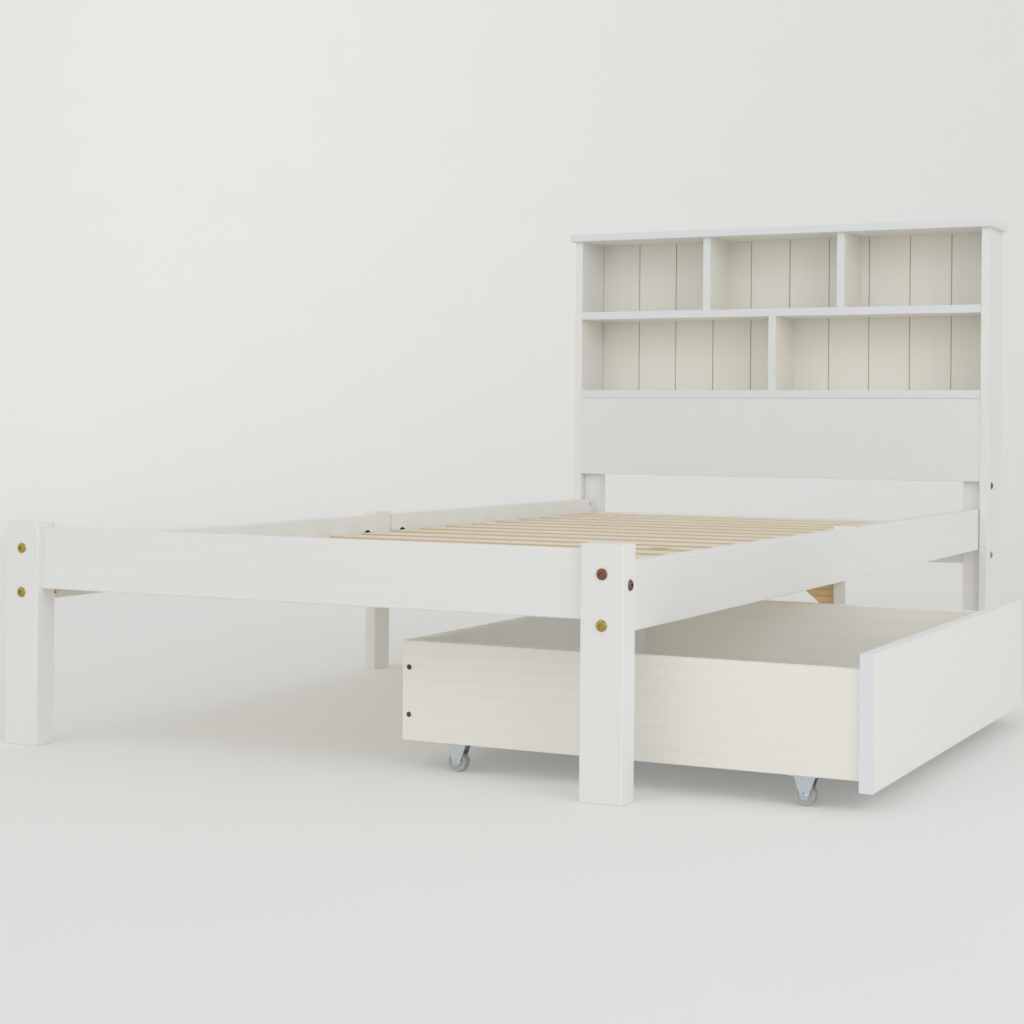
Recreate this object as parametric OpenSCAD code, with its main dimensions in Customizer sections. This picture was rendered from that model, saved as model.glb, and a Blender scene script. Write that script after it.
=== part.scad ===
// Single bed frame with a shelved headboard and one drawer on casters.
// Millimetres. +X is the drawer's side, +Y is the head end, +Z is up.
// Design coordinates: X = 0 on the bed's centre line, Y = 0 on the front of the
// foot posts, Z = 0 on the floor. The last module, place(), moves the finished
// pieces so that the origin is under the middle of the whole object at rest.

/* [Bed frame] */
// Width over the foot posts
bed_w = 1000; // [940:10:1300]
// Length of a whole side, from foot post to headboard post
side_l = 2025; // [1680:5:2450]
// Height of the foot posts
post_h = 330; // [300:5:400]
// Width of a foot post, across the bed
post_w = 60; // [50:1:75]
// Depth of a foot post, along the bed
post_d = 40; // [34:1:50]
// Thickness of every rail
rail_t = 26; // [22:1:32]
// Height of every rail
rail_h = 90; // [75:1:110]
// Drop from the foot post's top to the foot rail's top
foot_rail_drop = 8; // [0:1:20]
// Drop from the foot post's top to the side rail's top
side_rail_drop = 27; // [10:1:40]
// Step from the foot post's front to the foot rail's front
foot_rail_step = 9; // [3:0.5:12]
// Step from the foot post's side to the side rail's side
side_rail_step = 17; // [8:0.5:20]
// Rounding of the long edges of the timber
edge_r = 2; // [0.5:0.1:3]

/* [Middle of the bed] */
// Width of a mid leg, along the bed
mid_leg_w = 56; // [46:1:70]
// Thickness of a mid leg, across the bed
mid_leg_t = 23; // [20:0.5:26]
// Height of a mid leg above the side rail
mid_leg_rise = 5; // [0:0.5:10]
// How far a mid leg stands out from the side rail
mid_leg_proud = 2; // [0:0.5:4]
// Width of the beam between the mid legs
beam_w = 40; // [30:1:46]
// Height of the beam between the mid legs
beam_h = 42; // [36:1:50]
// Length of a gusset under the beam
gusset_l = 78; // [50:1:100]
// Height of a gusset down the mid leg
gusset_h = 65; // [40:1:90]
// Thickness of a gusset
gusset_t = 18; // [12:1:26]
// Diameter of the round pocket that takes a half-moon washer
pocket_d = 33; // [28:0.5:34]

/* [Slats] */
// Number of slats
slat_count = 18; // [10:1:18]
// Width of a slat
slat_w = 60; // [45:1:75]
// Thickness of a slat
slat_t = 15; // [10:0.5:20]
// Drop from the side rail's top to the slats' top
slat_drop = 33; // [28:1:45]
// Width of the bearer under the slat ends
bearer_w = 22; // [18:1:30]
// Height of the bearer under the slat ends
bearer_h = 30; // [20:1:36]

/* [Headboard] */
// Height to the top of the headboard
headboard_h = 946; // [850:2:1150]
// Thickness of the headboard's boards
board_t = 18; // [15:0.5:22]
// Depth of the headboard's shelves and sides
headboard_d = 138; // [120:1:180]
// Overhang of the top board at each side
top_over_side = 10.5; // [4:0.5:20]
// Overhang of the top board at the front
top_over_front = 13.5; // [4:0.5:20]
// Height of the upper row of compartments
upper_bay_h = 171; // [140:1:240]
// Height of the lower row of compartments
lower_bay_h = 172; // [140:1:240]
// Height of the plain panel under the shelves
panel_h = 185; // [120:1:220]
// Distance of an upper divider from the centre line
upper_divider_x = 163; // [120:1:200]
// Thickness of the grooved back panel
back_t = 8; // [5:0.5:12]
// Number of boards that the back panel's grooves mark out
back_boards = 10; // [6:1:14]
// Side of a square headboard post
head_post = 40; // [34:1:50]
// Step from the headboard's front to the front of its posts
head_post_step = 20; // [18:0.5:30]

/* [Drawer] */
// Gap between the drawer front and the leg at each end of it
drawer_gap = 55; // [20:1:80]
// Height of the drawer front
drawer_front_h = 174; // [130:1:176]
// Thickness of the drawer front
drawer_front_t = 19; // [15:0.5:22]
// Height of the drawer's bottom edge, where the casters hold it
drawer_floor_z = 40; // [36:1:50]
// Height of the drawer's sides and back
drawer_side_h = 139; // [90:1:150]
// Depth of the drawer from front to back
drawer_d = 673; // [500:1:760]
// Thickness of the drawer's sides and back
drawer_side_t = 18; // [12:0.5:20]
// Thickness of the drawer's base
drawer_base_t = 9; // [6:0.5:12]
// How far out the drawer stands at rest
drawer_open = 313; // [0:1:375]

/* [Casters] */
// Diameter of a caster wheel
wheel_d = 26.6; // [22:0.2:32]
// Width of a caster wheel
wheel_w = 14; // [10:0.5:16]
// Diameter of a caster's axle
axle_d = 5; // [4:0.2:6]
// Length of a caster's plate, across the bed
plate_l = 37; // [32:1:44]

/* [Hidden] */
$fn = 48;
eps = 0.01;

// Heights and widths that follow from the sizes above.
side_rail_top = post_h - side_rail_drop;
side_rail_z = side_rail_top - rail_h;
foot_rail_z = post_h - foot_rail_drop - rail_h;
rail_out_x = bed_w / 2 - side_rail_step;
rail_in_x = rail_out_x - rail_t;
mid_leg_out_x = rail_out_x + mid_leg_proud;
mid_leg_in_x = mid_leg_out_x - mid_leg_t;
mid_y = post_d + side_l / 2;
mid_leg_y0 = mid_y - mid_leg_w / 2;
mid_leg_y1 = mid_y + mid_leg_w / 2;
head_y = post_d + side_l;
slat_top_z = side_rail_top - slat_drop;
slat_z = slat_top_z - slat_t;
slat_gap = 1;
slat_l = 2 * (rail_in_x - slat_gap);
slat_end_gap = 15;
first_slat_y = foot_rail_step + rail_t + slat_end_gap + slat_w / 2;
last_slat_y = head_y - slat_end_gap - slat_w / 2;
slat_pitch = (last_slat_y - first_slat_y) / (slat_count - 1);
beam_z = slat_z - beam_h;
tenon_l = 12;
tenon_t = beam_w / 2.6;
tenon_shoulder = 6;
tenon_h = beam_h - 2 * tenon_shoulder;
tenon_play = 0.15;

// Headboard planes.
headboard_y = head_y - head_post_step;
board_in_x = rail_out_x + 1;
board_out_x = board_in_x + board_t;
post_in_x = board_in_x - head_post;
head_post_back_y = head_y + head_post;
headboard_back_y = headboard_y + headboard_d;
back_panel_y = headboard_back_y - back_t;
top_z = headboard_h - board_t;
mid_shelf_z = top_z - upper_bay_h - board_t;
low_shelf_z = mid_shelf_z - lower_bay_h - board_t;
panel_z = low_shelf_z - panel_h;
panel_step = 2;
divider_step = 1;
groove_w = 3;
groove_depth = 1.5;
cross_rail_y = head_y + (head_post - rail_t) / 2;
cross_rail_z = slat_top_z - rail_h;

// Drawer planes, with the drawer where it stands at rest.
drawer_out_x = mid_leg_out_x + drawer_open;
drawer_in_x = drawer_out_x - drawer_front_t;
drawer_back_x = drawer_out_x - drawer_d;
drawer_y0 = post_d + drawer_gap;
drawer_y1 = mid_leg_y0 - drawer_gap;
drawer_top_gap = 13;
drawer_front_z = side_rail_z - drawer_top_gap - drawer_front_h;
drawer_side_in = 5;
side_y0 = drawer_y0 + drawer_side_in;
side_y1 = drawer_y1 - drawer_side_in;
inner_y0 = side_y0 + drawer_side_t;
inner_y1 = side_y1 - drawer_side_t;
base_x0 = drawer_back_x + drawer_side_t;
axle_z = wheel_d / 2;
plate_t = 2;
plate_w = 32;
cheek_t = 1.5;
cheek_gap = wheel_w + 1;
caster_back_in = 78;
caster_front_in = 76;
caster_side_in = 22;
wheel_bore = axle_d + 0.16;
caster_xs = [drawer_back_x + caster_back_in, drawer_in_x - caster_front_in];
caster_ys = [side_y0 + caster_side_in, side_y1 - caster_side_in];
casters = [for (y = caster_ys, x = caster_xs) [x, y]];

// Fasteners.
bolt_d = 6;
bolt_hole_d = 6.6;
bolt_head_d = 15;
bolt_head_h = 3.2;
socket_af = 5;
socket_depth = 2.2;
nut_d = 10;
nut_l = 16;
nut_in = 21.5;
nut_play = 0.2;
bolt_past_nut = 6;
hole_past_bolt = 2;
bolt_x = rail_in_x + rail_t / 2;
rail_bolt_up = 12.5;
rail_bolt_down = 12;
rail_bolt_zs = [side_rail_z + rail_bolt_up, side_rail_top - rail_bolt_down];
foot_rail_y = foot_rail_step + rail_t / 2;
foot_rail_mid_z = foot_rail_z + rail_h / 2;
head_bolt_y = head_y + head_post / 2;
cross_bolt_up = 20.2;
panel_bolt_down = 10.4;
low_bolt_z = cross_rail_z + cross_bolt_up;
high_bolt_z = panel_z - panel_bolt_down;
pocket_in = 40;
pocket_past_mid = 7;
pocket_depth = rail_t / 2 + pocket_past_mid;
pocket_z = side_rail_z + rail_h / 2;
leg_nut_d = 11;
leg_nut_h = 5;
moon_flat = 9;
moon_play = 0.3;
moon_sunk = 3;
rod_past_nut = 3;
dowel_d = 8;
dowel_play = 0.1;
dowel_short = 10;
dowel_long = 20;
dowel_front_in = 30;
dowel_back_in = 105;
panel_dowel_in = 36;
screw_d = 4;
screw_head_d = 7.5;
screw_head_h = 3;
screw_play = 0.1;
slat_screw_l = 30;
slot_l = 3.8;
slot_w = 0.7;
slot_depth = 1.2;
pan_head_h = 1.8;
corner_screw_l = 40;
corner_screw_off = 0.8;
corner_screw_low = 36;
corner_screw_high = 102;
plate_screw_l = 9;
plate_screw_dx = 12;
plate_screw_dy = 12.5;
bearer_mid_x = rail_in_x - bearer_w / 2;
bearer_y0 = max(post_d, foot_rail_step + rail_t);

// Whole size at rest, for the origin.
x_min = -board_out_x - top_over_side;
x_max = max(drawer_out_x, -x_min);
y_min = -bolt_head_h;

white = [0.93, 0.93, 0.91];
cream = [0.90, 0.89, 0.84];
pine = [0.87, 0.78, 0.62];
golden = [0.76, 0.60, 0.38];
brass = [0.72, 0.60, 0.30];
zinc = [0.72, 0.74, 0.76];
grey = [0.62, 0.62, 0.62];
beech = [0.80, 0.66, 0.48];

slat_names = [for (i = [1:slat_count]) str("slat_", i < 10 ? "0" : "", i)];
wheel_names = [for (i = [1:len(casters)]) str("caster_wheel_", i)];

// ---- Helpers ---------------------------------------------------------------

// Rectangle with true arcs at its corners, from [0, 0] to [w, h].
module round_rect(w, h, r) {
    translate([r, 0]) square([w - 2 * r, h]);
    translate([0, r]) square([w, h - 2 * r]);
    for (x = [r, w - r], y = [r, h - r]) translate([x, y]) circle(r = r);
}

// Timber between two corners, with its long edges eased along one axis.
module bar_x(a, b, r = edge_r) {
    translate(a) rotate([90, 0, 90]) linear_extrude(b.x - a.x)
        round_rect(b.y - a.y, b.z - a.z, r);
}

module bar_y(a, b, r = edge_r) {
    translate([a.x, b.y, a.z]) rotate([90, 0, 0]) linear_extrude(b.y - a.y)
        round_rect(b.x - a.x, b.z - a.z, r);
}

module bar_z(a, b, r = edge_r) {
    translate(a) linear_extrude(b.z - a.z) round_rect(b.x - a.x, b.y - a.y, r);
}

// The right-hand shape for s = 1, and its mirror image for s = -1.
module side(s) {
    mirror([s < 0 ? 1 : 0, 0, 0]) children();
}

// Turns +Z to one of the six axis directions.
module aim(dir) {
    about_x = dir.y < 0 ? 90 : dir.y > 0 ? -90 : dir.z < 0 ? 180 : 0;
    about_y = dir.x > 0 ? 90 : dir.x < 0 ? -90 : 0;
    rotate([about_x, about_y, 0]) children();
}

// ---- Fastener places: [point on the face, outward direction, length] ---------

function foot_bolts(s) = [for (z = rail_bolt_zs)
    [[s * bolt_x, 0, z], [0, -1, 0], post_d + nut_in + bolt_past_nut]];
function head_bolts(s) = [for (z = rail_bolt_zs)
    [[s * bolt_x, head_post_back_y, z], [0, 1, 0], head_post + nut_in + bolt_past_nut]];
function foot_rail_bolts(s) = [
    [[s * bed_w / 2, foot_rail_y, foot_rail_mid_z], [s, 0, 0], post_w + nut_in + bolt_past_nut]];
function cross_rail_bolts(s) = [
    [[s * board_out_x, head_bolt_y, low_bolt_z], [s, 0, 0],
        board_t + head_post + nut_in + bolt_past_nut]];
function head_post_bolts(s) = [
    [[s * board_out_x, head_bolt_y, high_bolt_z], [s, 0, 0],
        board_t + head_post / 2 + bolt_past_nut]];

// Barrel nuts: [point where the nut's axis meets the bolt's, way out, depth of the point].
function foot_nuts(s) = [for (z = rail_bolt_zs)
    [[s * bolt_x, post_d + nut_in, z], [-s, 0, 0], rail_t / 2]];
function head_nuts(s) = [for (z = rail_bolt_zs)
    [[s * bolt_x, head_y - nut_in, z], [-s, 0, 0], rail_t / 2]];
function foot_rail_nuts(s) = [
    [[s * (bed_w / 2 - post_w - nut_in), foot_rail_y, foot_rail_mid_z], [0, 1, 0], rail_t / 2]];
function cross_rail_nuts(s) = [
    [[s * (post_in_x - nut_in), head_bolt_y, low_bolt_z], [0, 1, 0], rail_t / 2]];
function head_post_nuts(s) = [
    [[s * (board_in_x - head_post / 2), head_bolt_y, high_bolt_z], [0, 1, 0], head_post / 2]];

all_bolts = [for (s = [-1, 1]) each concat(foot_bolts(s), head_bolts(s), foot_rail_bolts(s),
    cross_rail_bolts(s), head_post_bolts(s))];
all_nuts = [for (s = [-1, 1]) each concat(foot_nuts(s), head_nuts(s), foot_rail_nuts(s),
    cross_rail_nuts(s), head_post_nuts(s))];

// Dowels: [point on the joint, way into the piece that takes the short end].
dowel_ys = [headboard_y + dowel_front_in, headboard_y + dowel_back_in];
function board_dowels(s, z) = [for (y = dowel_ys) [[s * board_in_x, y, z], [s, 0, 0]]];
function top_dowels(s) = [for (y = dowel_ys)
    [[s * (board_in_x + board_t / 2), y, top_z], [0, 0, 1]]];
function panel_dowels(s) = [for (z = [panel_z + panel_dowel_in, low_shelf_z - panel_dowel_in])
    [[s * board_in_x, headboard_y + panel_step + board_t / 2, z], [s, 0, 0]]];
function divider_dowels(x, z, up) = [for (y = dowel_ys) [[x, y, z], [0, 0, up]]];
shelf_dowels = [for (s = [-1, 1]) each concat(board_dowels(s, mid_shelf_z + board_t / 2),
    board_dowels(s, low_shelf_z + board_t / 2))];
upper_dowels = [for (s = [-1, 1]) each concat(divider_dowels(s * upper_divider_x, top_z, 1),
    divider_dowels(s * upper_divider_x, mid_shelf_z + board_t, -1))];
lower_dowels = concat(divider_dowels(0, mid_shelf_z, 1),
    divider_dowels(0, low_shelf_z + board_t, -1));
all_dowels = concat(shelf_dowels, upper_dowels, lower_dowels,
    [for (s = [-1, 1]) each concat(top_dowels(s), panel_dowels(s))]);

// Screws: [point on the face, outward direction, length].
function slat_y(i) = first_slat_y + i * slat_pitch;
function slat_screw_places(i) = [for (s = [-1, 1])
    [[s * bearer_mid_x, slat_y(i), slat_top_z], [0, 0, 1], slat_screw_l]];
corner_screw_x = drawer_back_x + drawer_side_t / 2 + corner_screw_off;
corner_screw_zs = [drawer_floor_z + corner_screw_low, drawer_floor_z + corner_screw_high];
function drawer_corner_screws(y, way) = [for (z = corner_screw_zs)
    [[corner_screw_x, y, z], [0, way, 0], corner_screw_l]];
mean_caster_y = (caster_ys[0] + caster_ys[1]) / 2;
function plate_screw_y(c) = c.y + (c.y < mean_caster_y ? plate_screw_dy : -plate_screw_dy);
function caster_screws(c) = [for (dx = [-plate_screw_dx, plate_screw_dx])
    [[c.x + dx, plate_screw_y(c), drawer_floor_z - plate_t], [0, 0, -1], plate_screw_l]];
corner_screws = concat(drawer_corner_screws(side_y0, -1), drawer_corner_screws(side_y1, 1));
plate_screws = [for (c = casters) each caster_screws(c)];

// ---- Fasteners and the holes for them ----------------------------------------

module bolt_holes(places) {
    for (p = places) translate(p[0]) aim(p[1])
        translate([0, 0, -p[2] - hole_past_bolt])
            cylinder(d = bolt_hole_d, h = p[2] + hole_past_bolt + 1);
}

module nut_holes(places) {
    for (p = places) translate(p[0]) aim(p[1])
        translate([0, 0, -nut_l / 2 - 1]) cylinder(d = nut_d + 2 * nut_play, h = nut_l / 2 + 2 + p[2]);
}

module dowel_holes(places) {
    for (p = places) translate(p[0]) aim(p[1])
        translate([0, 0, -dowel_long - 0.5])
            cylinder(d = dowel_d + 2 * dowel_play, h = dowel_long + dowel_short + 1);
}

module screw_holes(places) {
    for (p = places) translate(p[0]) aim(p[1]) {
        translate([0, 0, -p[2] - 1]) cylinder(d = screw_d + 2 * screw_play, h = p[2] + 1 + eps);
        translate([0, 0, -screw_head_h])
            cylinder(d1 = screw_d, d2 = screw_head_d + 2 * screw_play + 0.2, h = screw_head_h + 0.1);
    }
}

// Button-head bolt with a hexagon socket.
module bolt(l) {
    difference() {
        union() {
            translate([0, 0, -l]) cylinder(d = bolt_d, h = l + 1);
            rotate_extrude() polygon([
                [0, 0],
                [bolt_head_d / 2, 0],
                [bolt_head_d / 2, bolt_head_h * 0.35],
                [bolt_head_d * 0.41, bolt_head_h * 0.8],
                [bolt_head_d * 0.32, bolt_head_h],
                [0, bolt_head_h]
            ]);
        }
        translate([0, 0, bolt_head_h - socket_depth])
            cylinder(d = socket_af * 2 / sqrt(3), h = 2 * socket_depth, $fn = 6);
    }
}

// Countersunk screw, flush with the face.
module flush_screw(l) {
    difference() {
        union() {
            translate([0, 0, -l]) cylinder(d = screw_d, h = l - 1);
            translate([0, 0, -screw_head_h])
                cylinder(d1 = screw_d, d2 = screw_head_d, h = screw_head_h);
        }
        for (turn = [0, 90]) rotate([0, 0, turn])
            translate([-slot_l / 2, -slot_w / 2, -slot_depth])
                cube([slot_l, slot_w, 2 * slot_depth]);
    }
}

// Low pan-head screw that sits on a plate.
module pan_screw(l) {
    translate([0, 0, -l]) cylinder(d = screw_d, h = l + 0.5);
    cylinder(d1 = screw_head_d, d2 = screw_head_d * 0.7, h = pan_head_h);
}

module barrel_nut() {
    difference() {
        translate([0, 0, -nut_l / 2]) cylinder(d = nut_d, h = nut_l);
        rotate([90, 0, 0]) cylinder(d = bolt_d + 0.2, h = nut_d * 2, center = true);
    }
}

// The joint through a mid leg: a rod, a half-moon washer and a nut at each end.
module mid_leg_joint_rod(s) {
    reach = mid_leg_w / 2 + pocket_in - moon_flat + leg_nut_h + rod_past_nut;
    translate([s * bolt_x, mid_y - reach, pocket_z]) rotate([-90, 0, 0])
        cylinder(d = bolt_d, h = 2 * reach);
}

module half_moon_washer(s, way) {
    y = mid_y + way * (mid_leg_w / 2 + pocket_in);
    depth = pocket_depth - moon_sunk - 1;
    difference() {
        translate([s * (rail_in_x + moon_sunk), y, pocket_z]) rotate([0, s * 90, 0])
            cylinder(d = pocket_d - 2 * moon_play, h = depth);
        translate([s * bolt_x, y + way * (pocket_d / 2 - moon_flat), pocket_z])
            cube([4 * rail_t, pocket_d, 2 * pocket_d], center = true);
        translate([s * bolt_x, y, pocket_z]) rotate([90, 0, 0])
            cylinder(d = bolt_hole_d, h = 2 * pocket_d, center = true);
    }
}

module leg_nut(s, way) {
    y = mid_y + way * (mid_leg_w / 2 + pocket_in - moon_flat);
    translate([s * bolt_x, y, pocket_z]) rotate([-way * 90, 0, 0]) difference() {
        cylinder(d = leg_nut_d, h = leg_nut_h, $fn = 6);
        translate([0, 0, -1]) cylinder(d = bolt_d + 0.2, h = leg_nut_h + 2);
    }
}

// ---- Bed frame ------------------------------------------------------------------

module foot_post(s) {
    color(white) difference() {
        side(s) bar_z([bed_w / 2 - post_w, 0, 0], [bed_w / 2, post_d, post_h]);
        bolt_holes(concat(foot_bolts(s), foot_rail_bolts(s)));
    }
}

module foot_rail() {
    end_x = bed_w / 2 - post_w;
    color(white) difference() {
        bar_x([-end_x, foot_rail_step, foot_rail_z],
            [end_x, foot_rail_step + rail_t, foot_rail_z + rail_h]);
        bolt_holes(concat(foot_rail_bolts(-1), foot_rail_bolts(1)));
        nut_holes(concat(foot_rail_nuts(-1), foot_rail_nuts(1)));
    }
}

// The round pocket that opens on the rail's inner face, and the rod's hole.
module pocket_cut(s, way) {
    y = mid_y + way * (mid_leg_w / 2 + pocket_in);
    translate([s * (rail_in_x - 1), y, pocket_z]) rotate([0, s * 90, 0])
        cylinder(d = pocket_d, h = pocket_depth + 1);
    translate([s * bolt_x, mid_y, pocket_z]) rotate([-way * 90, 0, 0])
        cylinder(d = bolt_hole_d, h = mid_leg_w / 2 + pocket_in + 1);
}

module side_rail_foot(s) {
    color(white) difference() {
        side(s) bar_y([rail_in_x, post_d, side_rail_z], [rail_out_x, mid_leg_y0, side_rail_top]);
        bolt_holes(foot_bolts(s));
        nut_holes(foot_nuts(s));
        pocket_cut(s, -1);
    }
}

module side_rail_head(s) {
    color(white) difference() {
        side(s) bar_y([rail_in_x, mid_leg_y1, side_rail_z], [rail_out_x, head_y, side_rail_top]);
        bolt_holes(head_bolts(s));
        nut_holes(head_nuts(s));
        pocket_cut(s, 1);
    }
}

// Tenon on the beam's end, or the mortise for it when play is above zero.
module beam_tenon(play) {
    x0 = mid_leg_in_x - 1;
    translate([x0, mid_y - tenon_t / 2 - play, beam_z + (beam_h - tenon_h) / 2 - play])
        cube([tenon_l + 1 + play, tenon_t + 2 * play, tenon_h + 2 * play]);
}

module mid_leg(s) {
    color(white) difference() {
        side(s) difference() {
            bar_z([mid_leg_in_x, mid_leg_y0, 0],
                [mid_leg_out_x, mid_leg_y1, side_rail_top + mid_leg_rise]);
            beam_tenon(tenon_play);
        }
        translate([s * bolt_x, mid_y, pocket_z]) rotate([90, 0, 0])
            cylinder(d = bolt_hole_d, h = mid_leg_w + 2, center = true);
    }
}

module mid_cross_beam() {
    color(pine) union() {
        bar_x([-mid_leg_in_x, mid_y - beam_w / 2, beam_z], [mid_leg_in_x, mid_y + beam_w / 2, slat_z]);
        for (s = [-1, 1]) side(s) beam_tenon(0);
    }
}

module gussets() {
    tip = 2;
    outline = [[0, 0], [-gusset_l, 0], [-gusset_l, -tip], [-tip, -gusset_h], [0, -gusset_h]];
    color(golden) for (s = [-1, 1]) side(s)
        translate([mid_leg_in_x, mid_y + gusset_t / 2, beam_z]) rotate([90, 0, 0])
            linear_extrude(gusset_t) polygon(outline);
}

module slat_bearers(s) {
    in_x = rail_in_x - bearer_w;
    z = slat_z - bearer_h;
    color(pine) difference() {
        side(s) {
            bar_y([in_x, bearer_y0, z], [rail_in_x, mid_leg_y0, slat_z], edge_r / 2);
            bar_y([in_x, mid_leg_y1, z], [rail_in_x, head_y, slat_z], edge_r / 2);
        }
        screw_holes([for (i = [0:slat_count - 1]) slat_screw_places(i)[s < 0 ? 0 : 1]]);
    }
}

module slat(i) {
    color(pine) difference() {
        bar_x([-slat_l / 2, slat_y(i) - slat_w / 2, slat_z],
            [slat_l / 2, slat_y(i) + slat_w / 2, slat_top_z]);
        screw_holes(slat_screw_places(i));
    }
}

module head_cross_rail() {
    color(white) difference() {
        bar_x([-post_in_x, cross_rail_y, cross_rail_z], [post_in_x, cross_rail_y + rail_t, slat_top_z]);
        bolt_holes(concat(cross_rail_bolts(-1), cross_rail_bolts(1)));
        nut_holes(concat(cross_rail_nuts(-1), cross_rail_nuts(1)));
    }
}

// ---- Headboard --------------------------------------------------------------------

module headboard_side(s) {
    color(white) difference() {
        side(s) bar_z([board_in_x, headboard_y, 0], [board_out_x, headboard_back_y, top_z]);
        bolt_holes(concat(cross_rail_bolts(s), head_post_bolts(s)));
        dowel_holes(concat(top_dowels(s), panel_dowels(s)));
        dowel_holes(shelf_dowels);
    }
}

module headboard_post(s) {
    color(white) difference() {
        side(s) bar_z([post_in_x, head_y, 0], [board_in_x, head_post_back_y, low_shelf_z]);
        bolt_holes(concat(head_bolts(s), cross_rail_bolts(s), head_post_bolts(s)));
        nut_holes(head_post_nuts(s));
    }
}

module headboard_top() {
    color(white) difference() {
        bar_x([x_min, headboard_y - top_over_front, top_z], [-x_min, headboard_back_y, headboard_h]);
        dowel_holes(concat(top_dowels(-1), top_dowels(1), upper_dowels));
    }
}

module shelf(z) {
    color(cream) difference() {
        bar_x([-board_in_x, headboard_y, z], [board_in_x, back_panel_y, z + board_t], edge_r / 2);
        dowel_holes(concat(shelf_dowels, upper_dowels, lower_dowels));
    }
}

module divider(x, z0, z1, dowels) {
    color(cream) difference() {
        bar_z([x - board_t / 2, headboard_y + divider_step, z0],
            [x + board_t / 2, back_panel_y, z1], edge_r / 2);
        dowel_holes(dowels);
    }
}

module upper_divider(s) {
    divider(s * upper_divider_x, mid_shelf_z + board_t, top_z, upper_dowels);
}

module lower_divider() {
    divider(0, low_shelf_z + board_t, mid_shelf_z, lower_dowels);
}

module back_panel() {
    width = 2 * board_in_x;
    color(cream) difference() {
        translate([-board_in_x, back_panel_y, low_shelf_z]) cube([width, back_t, top_z - low_shelf_z]);
        for (i = [1:back_boards - 1])
            translate([-board_in_x + i * width / back_boards, back_panel_y, low_shelf_z - 1])
                linear_extrude(top_z - low_shelf_z + 2)
                    polygon([[-groove_w / 2, -eps], [groove_w / 2, -eps], [0, groove_depth]]);
    }
}

module headboard_panel() {
    color(white) difference() {
        bar_x([-board_in_x, headboard_y + panel_step, panel_z],
            [board_in_x, head_y, low_shelf_z], edge_r / 2);
        dowel_holes(concat(panel_dowels(-1), panel_dowels(1)));
    }
}

// ---- Drawer -------------------------------------------------------------------------

module drawer_front() {
    color(white) bar_y([drawer_in_x, drawer_y0, drawer_front_z],
        [drawer_out_x, drawer_y1, drawer_front_z + drawer_front_h]);
}

module drawer_side(y, screws) {
    color(cream) difference() {
        bar_x([drawer_back_x, y, drawer_floor_z],
            [drawer_in_x, y + drawer_side_t, drawer_floor_z + drawer_side_h], edge_r / 2);
        screw_holes(screws);
    }
}

module drawer_back() {
    color(cream) difference() {
        bar_y([drawer_back_x, inner_y0, drawer_floor_z],
            [base_x0, inner_y1, drawer_floor_z + drawer_side_h], edge_r / 2);
        screw_holes(corner_screws);
    }
}

module drawer_base() {
    color(cream) difference() {
        translate([base_x0, inner_y0, drawer_floor_z])
            cube([drawer_in_x - base_x0, inner_y1 - inner_y0, drawer_base_t]);
        screw_holes(plate_screws);
    }
}

// A bent plate: a flat top and two tapered cheeks that hold the axle.
module caster_bracket(c) {
    cheek_top = 15;
    cheek_foot = 6;
    axle_drop = axle_z - drawer_floor_z;
    translate([c.x, c.y, drawer_floor_z]) difference() {
        union() {
            translate([-plate_l / 2, -plate_w / 2, -plate_t]) cube([plate_l, plate_w, plate_t]);
            for (y = [-cheek_gap / 2 - cheek_t, cheek_gap / 2])
                translate([0, y + cheek_t, 0]) rotate([90, 0, 0]) linear_extrude(cheek_t) {
                    polygon([[-cheek_top, -plate_t / 2], [cheek_top, -plate_t / 2],
                        [cheek_foot, axle_drop], [-cheek_foot, axle_drop]]);
                    translate([0, axle_drop]) circle(r = cheek_foot);
                }
        }
        translate([0, 0, axle_drop]) rotate([90, 0, 0])
            cylinder(d = axle_d + 0.1, h = plate_w, center = true);
    }
}

module caster_brackets() {
    color(zinc) difference() {
        for (c = casters) caster_bracket(c);
        for (p = plate_screws) translate(p[0]) cylinder(d = screw_d + 0.4, h = 10, center = true);
    }
}

module caster_axles() {
    half = cheek_gap / 2 + cheek_t;
    cap_d = 7.4;
    cap_h = 1.2;
    color(zinc) for (c = casters) translate([c.x, c.y, axle_z]) rotate([90, 0, 0]) {
        cylinder(d = axle_d, h = 2 * half, center = true);
        for (turn = [0, 180]) rotate([turn, 0, 0])
            translate([0, 0, half]) cylinder(d1 = cap_d, d2 = axle_d, h = cap_h);
    }
}

module caster_wheel(c) {
    rim = 2.5;
    tyre_in = wheel_bore / 2 + 1;
    color(grey) translate([c.x, c.y, axle_z]) rotate([90, 0, 0]) rotate_extrude() difference() {
        union() {
            translate([wheel_bore / 2, -wheel_w / 2]) square([wheel_d / 4, wheel_w]);
            translate([tyre_in, -wheel_w / 2]) round_rect(wheel_d / 2 - tyre_in, wheel_w, rim);
        }
        for (y = [-wheel_w / 2, wheel_w / 2])
            translate([wheel_d * 0.27, y - 1]) square([wheel_d * 0.09, 2]);
    }
}

// ---- Groups of fasteners ---------------------------------------------------------------

module frame_bolts() {
    color(brass) {
        for (p = all_bolts) translate(p[0]) aim(p[1]) bolt(p[2]);
        for (s = [-1, 1]) mid_leg_joint_rod(s);
    }
}

// Each barrel nut lies along its own hole, with its thread across it.
module frame_nuts() {
    color(zinc) {
        for (p = all_nuts) translate(p[0]) aim(p[1])
            rotate([0, 0, p[1].y != 0 ? 90 : 0]) barrel_nut();
        for (s = [-1, 1], way = [-1, 1]) {
            half_moon_washer(s, way);
            leg_nut(s, way);
        }
    }
}

module slat_screws() {
    color(zinc) for (i = [0:slat_count - 1], p = slat_screw_places(i))
        translate(p[0]) aim(p[1]) flush_screw(p[2]);
}

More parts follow.
